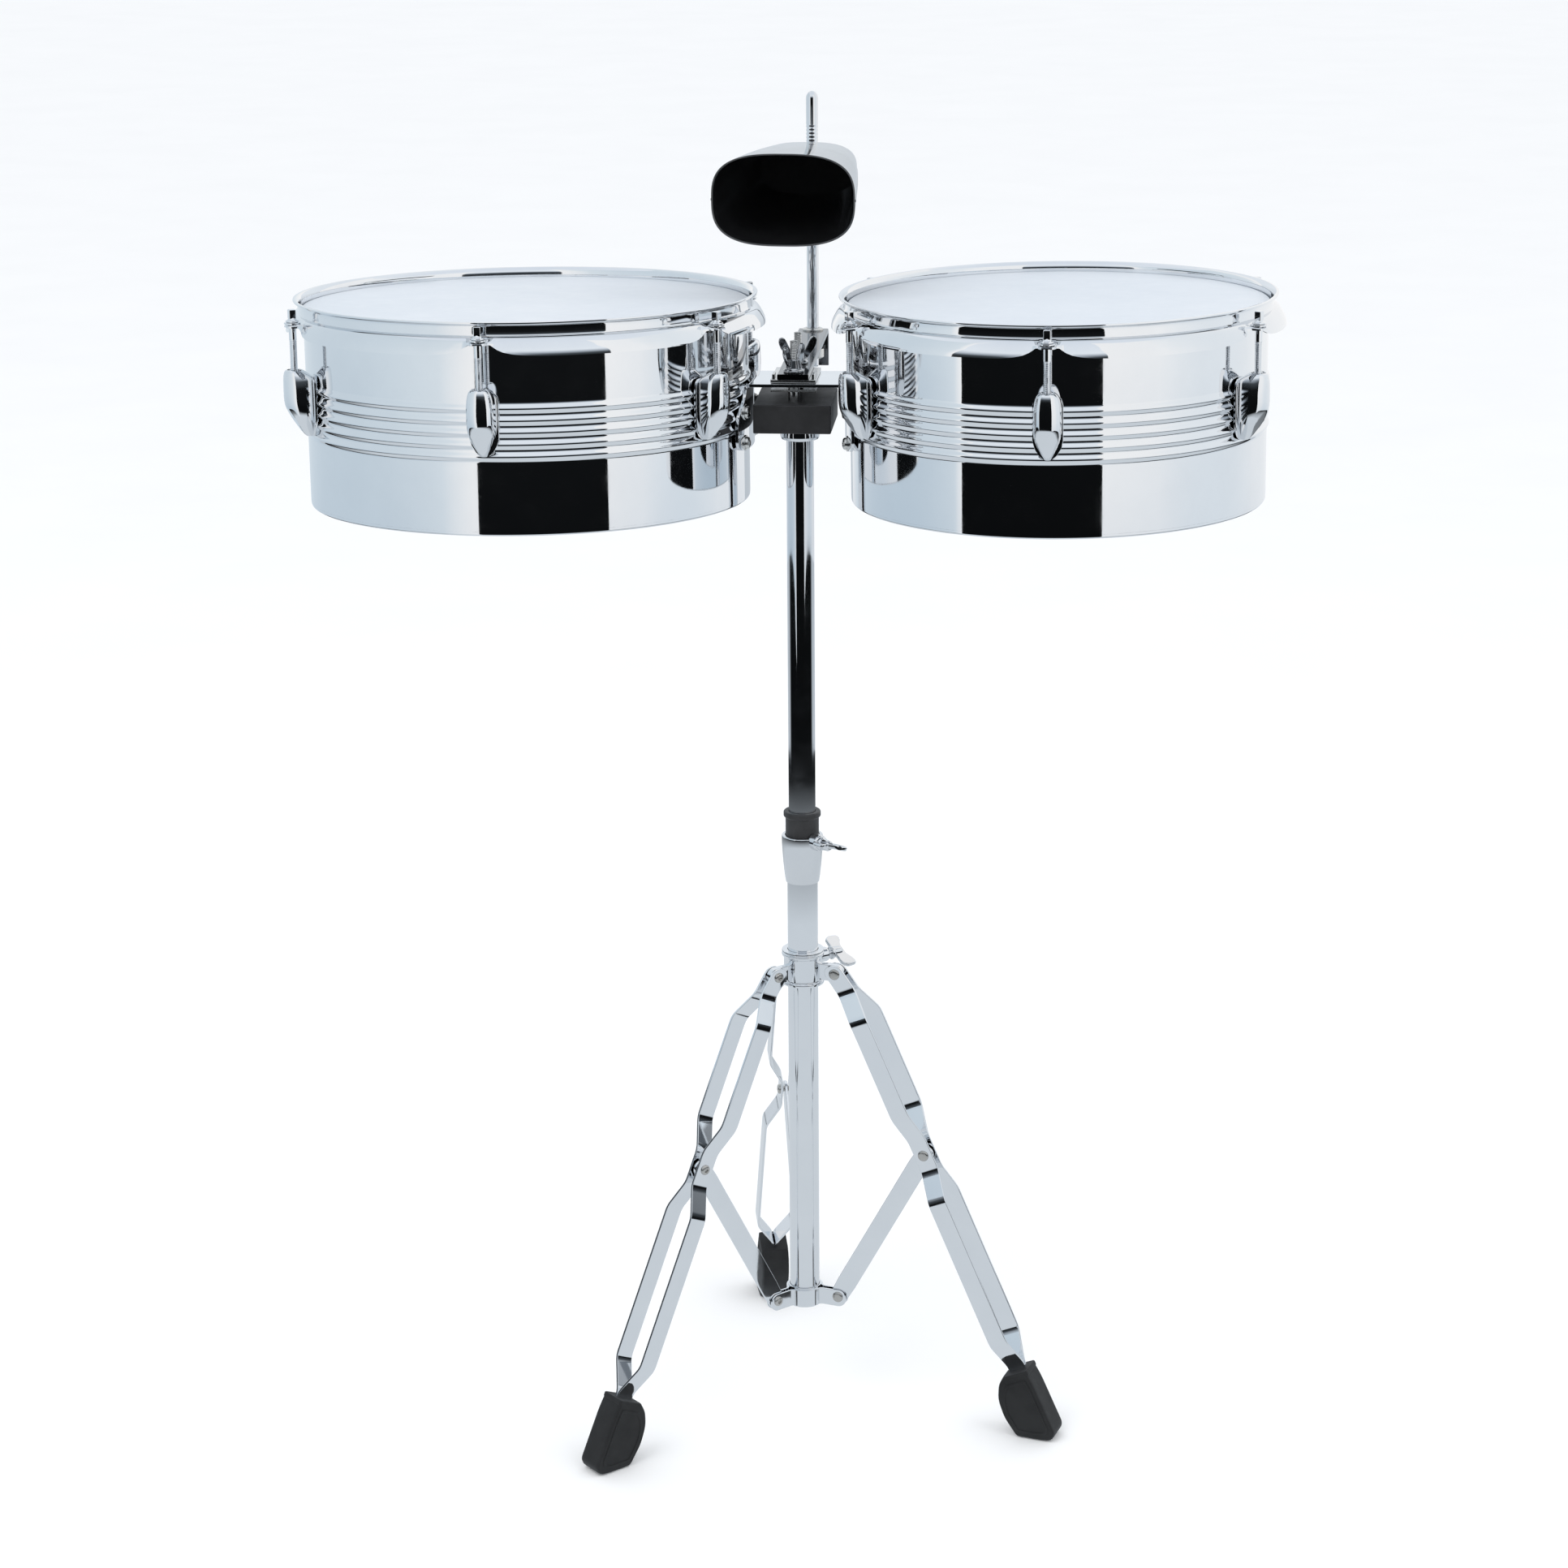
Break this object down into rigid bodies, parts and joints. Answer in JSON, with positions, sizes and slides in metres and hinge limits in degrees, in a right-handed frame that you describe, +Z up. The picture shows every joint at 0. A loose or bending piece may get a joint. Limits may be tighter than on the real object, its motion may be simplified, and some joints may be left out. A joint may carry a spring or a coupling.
{
  "type": "timbales",
  "caption": "Pair of shallow chrome steel drums on one bracket with a black cowbell behind, on a height-adjustable tube and folding double-braced tripod stand.",
  "frame": {"origin": "on the floor, under the middle of the outline seen from above; the stand tube stands at X 0.0130, Y -0.0120", "axes": "+Z up along the stand tube; +X towards the smaller drum, along the bracket between the drums; -Y towards the player, the cowbell behind on the +Y side"},
  "size_m": [0.7967, 0.4328, 1.107],
  "materials": {
    "black_gloss": "gloss black baked paint",
    "black_satin": "satin black powder coat",
    "chrome": "mirror-polished chrome plate",
    "film": "hazy translucent polyester film",
    "nickel": "bright zinc or nickel plate, fine machining marks",
    "nylon": "satin black moulded nylon",
    "rubber": "matte black moulded rubber",
    "smoked_chrome": "dark mirror-polished plate"
  },
  "bodies": {
    "base": {"lower_tube": "chrome", "height_clamp": "chrome", "bottom_spider": "chrome"},
    "bushing": {"tube_bushing": "nylon"},
    "mast": {"upper_tube": "chrome", "bracket_block": "black_satin", "bracket_bolt_front": "nickel", "bracket_bolt_rear": "nickel", "drum_bracket": "chrome", "arm_saddle": "nickel", "cowbell_arm": "smoked_chrome", "rod_eye_bolt": "nickel", "shell_left": "chrome", "head_left": "film", "hoop_left": "chrome", "lug_left_1": "chrome", "lug_left_2": "chrome", "lug_left_3": "chrome", "lug_left_4": "chrome", "lug_left_5": "chrome", "lug_left_6": "chrome", "shell_right": "chrome", "head_right": "film", "hoop_right": "chrome", "lug_right_1": "chrome", "lug_right_2": "chrome", "lug_right_3": "chrome", "lug_right_4": "chrome", "lug_right_5": "chrome", "lug_right_6": "chrome"},
    "height_wing_bolt": {"height_wing_bolt": "chrome"},
    "collar": {"leg_collar": "chrome"},
    "collar_wing_bolt": {"collar_wing_bolt": "chrome"},
    "leg_assembly_right": {"leg_right": "chrome", "foot_right": "rubber"},
    "brace_right": {"brace_right": "chrome"},
    "leg_assembly_back": {"leg_back": "chrome", "foot_back": "rubber"},
    "brace_back": {"brace_back": "chrome"},
    "leg_assembly_left": {"leg_left": "chrome", "foot_left": "rubber"},
    "brace_left": {"brace_left": "chrome"},
    "wing_nut_front": {"wing_nut_front": "chrome"},
    "wing_nut_rear": {"wing_nut_rear": "chrome"},
    "rod_wing_nut": {"rod_wing_nut": "chrome"},
    "cowbell_rod": {"cowbell_rod": "smoked_chrome"},
    "cowbell": {"cowbell": "black_gloss"},
    "cowbell_wing_bolt": {"cowbell_wing_bolt": "chrome"},
    "tension_rod_left_1": {"tension_rod_left_1": "chrome"},
    "tension_rod_left_2": {"tension_rod_left_2": "chrome"},
    "tension_rod_left_3": {"tension_rod_left_3": "chrome"},
    "tension_rod_left_4": {"tension_rod_left_4": "chrome"},
    "tension_rod_left_5": {"tension_rod_left_5": "chrome"},
    "tension_rod_left_6": {"tension_rod_left_6": "chrome"},
    "tension_rod_right_1": {"tension_rod_right_1": "chrome"},
    "tension_rod_right_2": {"tension_rod_right_2": "chrome"},
    "tension_rod_right_3": {"tension_rod_right_3": "chrome"},
    "tension_rod_right_4": {"tension_rod_right_4": "chrome"},
    "tension_rod_right_5": {"tension_rod_right_5": "chrome"},
    "tension_rod_right_6": {"tension_rod_right_6": "chrome"}
  },
  "joints": [
    {"name": "mast_swivel", "type": "hinge", "parent": "base", "child": "bushing", "pos_m": [0.013, -0.012, 0.51], "axis": [0, 0, 1], "continuous": true},
    {"name": "height_slide", "type": "slide", "parent": "bushing", "child": "mast", "axis": [0, 0, 1], "range_m": [-0.18, 0.12]},
    {"name": "height_wing_bolt_turn", "type": "hinge", "parent": "base", "child": "height_wing_bolt", "pos_m": [0.03529, -0.03207, 0.511], "axis": [0.7431, -0.6691, 0], "range_deg": [0, 720]},
    {"name": "collar_slide", "type": "slide", "parent": "base", "child": "collar", "axis": [0, 0, 1], "range_m": [0, 0.0392]},
    {"name": "collar_wing_bolt_turn", "type": "hinge", "parent": "collar", "child": "collar_wing_bolt", "pos_m": [0.03757, 0.00521, 0.404], "axis": [0.8192, 0.5736, 0], "range_deg": [0, 720]},
    {"name": "leg_fold_right", "type": "hinge", "parent": "collar", "child": "leg_assembly_right", "pos_m": [0.0417, -0.02072, 0.395], "axis": [0.2907, 0.9568, 0], "range_deg": [0, 24.5]},
    {"name": "brace_fold_right", "type": "hinge", "parent": "leg_assembly_right", "child": "brace_right", "pos_m": [0.11825, -0.04398, 0.2426], "axis": [0.2907, 0.9568, 0], "range_deg": [-50.3, 0]},
    {"name": "leg_fold_back", "type": "hinge", "parent": "collar", "child": "leg_assembly_back", "pos_m": [0.0062, 0.01722, 0.395], "axis": [-0.974, -0.2267, 0], "range_deg": [0, 24.5]},
    {"name": "brace_fold_back", "type": "hinge", "parent": "leg_assembly_back", "child": "brace_back", "pos_m": [-0.01193, 0.09514, 0.2426], "axis": [-0.974, -0.2267, 0], "range_deg": [-50.3, 0]},
    {"name": "leg_fold_left", "type": "hinge", "parent": "collar", "child": "leg_assembly_left", "pos_m": [-0.0089, -0.0325, 0.395], "axis": [0.6833, -0.7302, 0], "range_deg": [0, 24.5]},
    {"name": "brace_fold_left", "type": "hinge", "parent": "leg_assembly_left", "child": "brace_left", "pos_m": [-0.06732, -0.08716, 0.2426], "axis": [0.6833, -0.7302, 0], "range_deg": [-50.3, 0]},
    {"name": "wing_nut_front_turn", "type": "hinge", "parent": "mast", "child": "wing_nut_front", "pos_m": [0.01, -0.032, 0.915], "axis": [0, 0, 1], "range_deg": [0, 360]},
    {"name": "wing_nut_rear_turn", "type": "hinge", "parent": "mast", "child": "wing_nut_rear", "pos_m": [0.01, 0.008, 0.915], "axis": [0, 0, 1], "range_deg": [0, 360]},
    {"name": "rod_wing_nut_turn", "type": "hinge", "parent": "mast", "child": "rod_wing_nut", "pos_m": [0.01, 0.188, 0.887], "axis": [0, 1, 0], "range_deg": [0, 360]},
    {"name": "cowbell_rod_slide", "type": "slide", "parent": "mast", "child": "cowbell_rod", "axis": [0, 0, 1], "range_m": [-0.025, 0.006]},
    {"name": "cowbell_swing", "type": "hinge", "parent": "cowbell_rod", "child": "cowbell", "pos_m": [0.01, 0.168, 1.0457], "axis": [0, 0, 1], "range_deg": [-60, 60]},
    {"name": "cowbell_wing_bolt_turn", "type": "hinge", "parent": "cowbell", "child": "cowbell_wing_bolt", "pos_m": [0.011, 0.18798, 1.0457], "axis": [0.0499, 0.9988, 0], "range_deg": [0, 720]},
    {"name": "tension_rod_left_1_turn", "type": "hinge", "parent": "mast", "child": "tension_rod_left_1", "pos_m": [-0.21338, -0.20554, 0.95883], "axis": [-0.0064, 0.0361, 0.9993], "range_deg": [-360, 360]},
    {"name": "tension_rod_left_2_turn", "type": "hinge", "parent": "mast", "child": "tension_rod_left_2", "pos_m": [-0.0427, -0.11483, 0.95665], "axis": [-0.0064, 0.0361, 0.9993], "range_deg": [-360, 360]},
    {"name": "tension_rod_left_3_turn", "type": "hinge", "parent": "mast", "child": "tension_rod_left_3", "pos_m": [-0.03593, 0.07823, 0.94973], "axis": [-0.0064, 0.0361, 0.9993], "range_deg": [-360, 360]},
    {"name": "tension_rod_left_4_turn", "type": "hinge", "parent": "mast", "child": "tension_rod_left_4", "pos_m": [-0.19985, 0.18057, 0.94498], "axis": [-0.0064, 0.0361, 0.9993], "range_deg": [-360, 360]},
    {"name": "tension_rod_left_5_turn", "type": "hinge", "parent": "mast", "child": "tension_rod_left_5", "pos_m": [-0.37053, 0.08986, 0.94717], "axis": [-0.0064, 0.0361, 0.9993], "range_deg": [-360, 360]},
    {"name": "tension_rod_left_6_turn", "type": "hinge", "parent": "mast", "child": "tension_rod_left_6", "pos_m": [-0.37729, -0.10319, 0.95409], "axis": [-0.0064, 0.0361, 0.9993], "range_deg": [-360, 360]},
    {"name": "tension_rod_right_1_turn", "type": "hinge", "parent": "mast", "child": "tension_rod_right_1", "pos_m": [0.21225, -0.19321, 0.95741], "axis": [-0.0135, 0.0099, 0.9999], "range_deg": [-360, 360]},
    {"name": "tension_rod_right_2_turn", "type": "hinge", "parent": "mast", "child": "tension_rod_right_2", "pos_m": [0.37223, -0.10814, 0.95873], "axis": [-0.0135, 0.0099, 0.9999], "range_deg": [-360, 360]},
    {"name": "tension_rod_right_3_turn", "type": "hinge", "parent": "mast", "child": "tension_rod_right_3", "pos_m": [0.37856, 0.07294, 0.95702], "axis": [-0.0135, 0.0099, 0.9999], "range_deg": [-360, 360]},
    {"name": "tension_rod_right_4_turn", "type": "hinge", "parent": "mast", "child": "tension_rod_right_4", "pos_m": [0.22492, 0.16895, 0.954], "axis": [-0.0135, 0.0099, 0.9999], "range_deg": [-360, 360]},
    {"name": "tension_rod_right_5_turn", "type": "hinge", "parent": "mast", "child": "tension_rod_right_5", "pos_m": [0.06494, 0.08387, 0.95268], "axis": [-0.0135, 0.0099, 0.9999], "range_deg": [-360, 360]},
    {"name": "tension_rod_right_6_turn", "type": "hinge", "parent": "mast", "child": "tension_rod_right_6", "pos_m": [0.0586, -0.09721, 0.95438], "axis": [-0.0135, 0.0099, 0.9999], "range_deg": [-360, 360]}
  ],
  "couplings": [
    {"joint": "leg_fold_back", "follows": "leg_fold_right", "ratio": 1},
    {"joint": "leg_fold_left", "follows": "leg_fold_right", "ratio": 1},
    {"joint": "brace_fold_right", "follows": "leg_fold_right", "ratio": -2.0515},
    {"joint": "brace_fold_back", "follows": "leg_fold_right", "ratio": -2.0515},
    {"joint": "brace_fold_left", "follows": "leg_fold_right", "ratio": -2.0515},
    {"joint": "collar_slide", "follows": "leg_fold_right", "m_per_rad": 0.091485}
  ]
}
